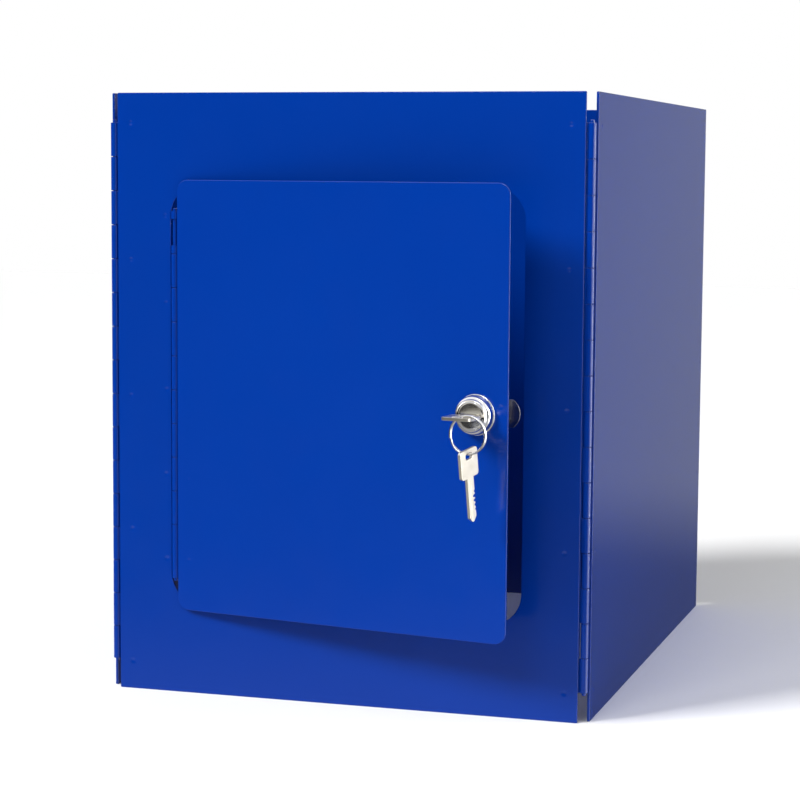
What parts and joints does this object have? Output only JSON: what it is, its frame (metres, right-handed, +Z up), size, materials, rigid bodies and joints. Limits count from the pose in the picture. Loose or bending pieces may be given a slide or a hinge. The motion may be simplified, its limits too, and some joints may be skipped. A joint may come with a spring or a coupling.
{
  "type": "book drop box",
  "caption": "Folding sheet-steel book drop box, open above and below, its panels joined by full-height continuous hinges, with a keyed overlay door on the front.",
  "frame": {"origin": "middle of the footprint of the whole box, the ajar door and its key ring included, on the floor", "axes": "+X to the right across the front, +Y to the back, +Z up"},
  "size_m": [0.371, 0.5589, 0.45],
  "materials": {
    "painted_steel": "blue powder coat with a fine orange-peel texture",
    "painted_hinge": "blue powder coat over rolled steel",
    "hinge_pin_steel": "drawn wire",
    "lock_chrome": "polished",
    "wafer_brass": "stamped",
    "cam_zinc": "zinc plated",
    "key_nickel": "nickel plated",
    "ring_steel": "spring steel, nickel plated"
  },
  "bodies": {
    "back": {"back_panel": "painted_steel", "back_left_back_leaf": "painted_hinge", "back_left_pin": "hinge_pin_steel", "back_right_back_leaf": "painted_hinge", "back_right_pin": "hinge_pin_steel"},
    "left_side": {"left_panel": "painted_steel", "back_left_side_leaf": "painted_hinge", "front_left_side_leaf": "painted_hinge"},
    "right_side": {"right_panel": "painted_steel", "back_right_side_leaf": "painted_hinge", "front_right_side_leaf": "painted_hinge"},
    "front": {"front_panel": "painted_steel", "front_left_front_leaf": "painted_hinge", "front_left_pin": "hinge_pin_steel", "front_right_front_leaf": "painted_hinge", "front_right_pin": "hinge_pin_steel", "door_frame_leaf": "painted_hinge", "door_pin": "hinge_pin_steel"},
    "door": {"door_panel": "painted_steel", "door_leaf": "painted_hinge", "lock_housing": "lock_chrome", "lock_trim_ring": "lock_chrome", "lock_nut": "cam_zinc"},
    "plug": {"lock_plug": "lock_chrome", "lock_wafers": "wafer_brass", "lock_cam": "cam_zinc", "cam_washer": "cam_zinc", "cam_screw": "cam_zinc"},
    "key": {"key": "key_nickel"},
    "ring": {"key_ring": "ring_steel"},
    "spare": {"spare_key": "key_nickel"}
  },
  "joints": [
    {"name": "fold", "type": "hinge", "parent": "back", "child": "left_side", "pos_m": [-0.1819, 0.27581, 0.225], "axis": [0, 0, -1], "range_deg": [0, 80]},
    {"name": "front_hinge", "type": "hinge", "parent": "left_side", "child": "front", "pos_m": [-0.1819, -0.18899, 0.225], "axis": [0, 0, -1], "range_deg": [-80, 0]},
    {"name": "right_hinge", "type": "hinge", "parent": "back", "child": "right_side", "pos_m": [0.1819, 0.27581, 0.225], "axis": [0, 0, -1], "range_deg": [0, 80]},
    {"name": "door_hinge", "type": "hinge", "parent": "front", "child": "door", "pos_m": [-0.1322, -0.19199, 0.225], "axis": [0, 0, -1], "range_deg": [-10, 110]},
    {"name": "plug_turn", "type": "hinge", "parent": "door", "child": "plug", "pos_m": [0.11283, -0.23803, 0.225], "axis": [0.1736, 0.9848, 0], "range_deg": [0, 90]},
    {"name": "key_pull", "type": "slide", "parent": "plug", "child": "key", "axis": [-0.1736, -0.9848, 0], "range_m": [0, 0.032]},
    {"name": "ring_turn", "type": "hinge", "parent": "key", "child": "ring", "pos_m": [0.11531, -0.26858, 0.21424], "axis": [0.1736, 0.9848, 0], "range_deg": [-90, 0]},
    {"name": "spare_swing", "type": "hinge", "parent": "ring", "child": "spare", "pos_m": [0.11531, -0.26858, 0.21424], "axis": [0.1736, 0.9848, 0], "range_deg": [-45, 45]}
  ],
  "couplings": [
    {"joint": "front_hinge", "follows": "fold", "ratio": -1},
    {"joint": "right_hinge", "follows": "fold", "ratio": 1},
    {"joint": "ring_turn", "follows": "plug_turn", "ratio": -1}
  ]
}
